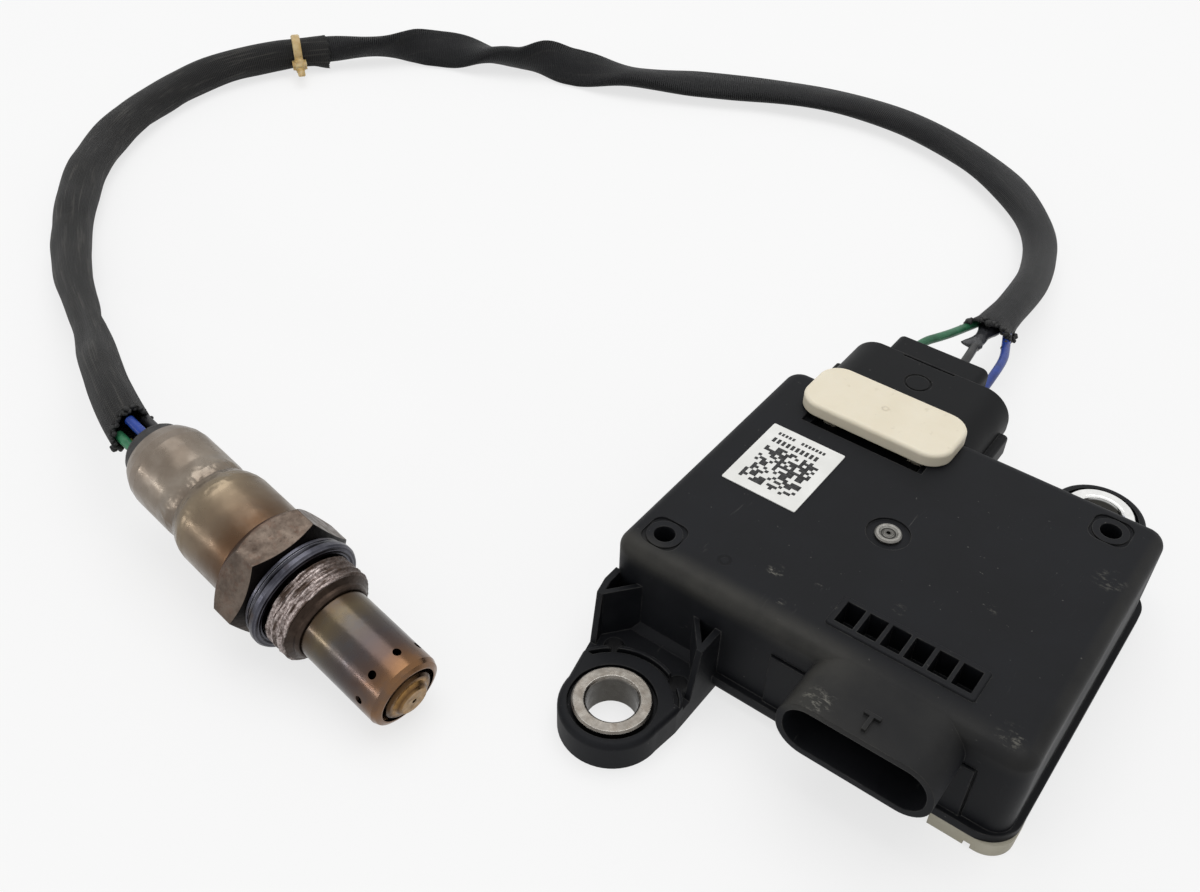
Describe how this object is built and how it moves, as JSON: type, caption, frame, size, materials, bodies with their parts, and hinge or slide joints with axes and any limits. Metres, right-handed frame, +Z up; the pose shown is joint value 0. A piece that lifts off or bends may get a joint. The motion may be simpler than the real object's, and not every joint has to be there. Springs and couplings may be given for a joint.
{
  "type": "exhaust particle sensor",
  "caption": "Threaded exhaust probe on a sleeved harness, plugged into its own flat control unit with two bushed mounting ears.",
  "frame": {"origin": "centre of the front ear's bush, on the surface that the part lies on", "axes": "+Z up along the bush's bore, +X along the control unit's front edge towards the vehicle connector's side, +Y from that edge to the edge with the sensor plug"},
  "size_m": [0.3075, 0.2584, 0.026],
  "materials": {
    "housing_plastic": "moulded, lighter worn edges",
    "cover_plastic": "pale grey-beige, dull",
    "seal_rubber": "soft",
    "bush_steel": "turned, brownish grey",
    "rivet_metal": "dull",
    "label_film": null,
    "board_laminate": "green lacquer",
    "chip_plastic": "dull",
    "can_metal": "satin",
    "pin_metal": "plated",
    "plug_plastic": "moulded",
    "lock_plastic": "cream, fine grain",
    "wire_green": "insulation",
    "wire_black": "insulation",
    "wire_blue": "insulation",
    "wire_yellow": "insulation",
    "shrink_plastic": "wrinkled",
    "woven_sleeve": "braided",
    "smooth_sleeve": "coated braid",
    "tie_plastic": "natural nylon",
    "grommet_rubber": "dull",
    "shell_steel": "satin, straw tint",
    "hex_steel": "heat-tinted brown",
    "gasket_steel": "bluish grey",
    "tube_steel": "heat-tinted blue-grey",
    "cap_steel": "bronze heat tint",
    "element_ceramic": "fired ceramic",
    "insulator_ceramic": "fired ceramic",
    "talc": "packed powder"
  },
  "bodies": {
    "root": {"unit_housing": "housing_plastic", "base_cover": "cover_plastic", "cover_seal": "seal_rubber", "plug_seal": "seal_rubber", "front_bush": "bush_steel", "rear_bush": "bush_steel", "centre_rivet": "rivet_metal", "unit_label": "label_film", "circuit_board": "board_laminate", "processor": "chip_plastic", "power_inductor": "chip_plastic", "capacitors": "can_metal", "vehicle_pins": "pin_metal", "sensor_pins": "pin_metal", "plug_contacts": "pin_metal", "contact_clips": "pin_metal", "plug_body": "plug_plastic", "plug_rear_cap": "plug_plastic", "plug_wire_green": "wire_green", "probe_wire_green": "wire_green", "plug_wire_black": "wire_black", "probe_wire_black_a": "wire_black", "probe_wire_black_b": "wire_black", "plug_wire_blue": "wire_blue", "probe_wire_blue": "wire_blue", "probe_wire_yellow": "wire_yellow", "shrink_tube": "shrink_plastic", "sleeve_front": "woven_sleeve", "sleeve_rear": "smooth_sleeve", "cable_tie": "tie_plastic", "cable_grommet": "grommet_rubber", "rear_shell": "shell_steel", "hex_body": "hex_steel", "gasket_ring": "gasket_steel", "outer_tube": "tube_steel", "inner_tube": "cap_steel", "sensing_element": "element_ceramic", "lower_insulator": "insulator_ceramic", "upper_insulator": "insulator_ceramic", "contact_holder": "insulator_ceramic", "powder_ring": "talc"},
    "lock": {"plug_lock": "lock_plastic"}
  },
  "joints": [
    {"name": "lock_slide", "type": "slide", "parent": "root", "child": "lock", "axis": [0, 0, 1], "range_m": [0, 0.004]}
  ]
}
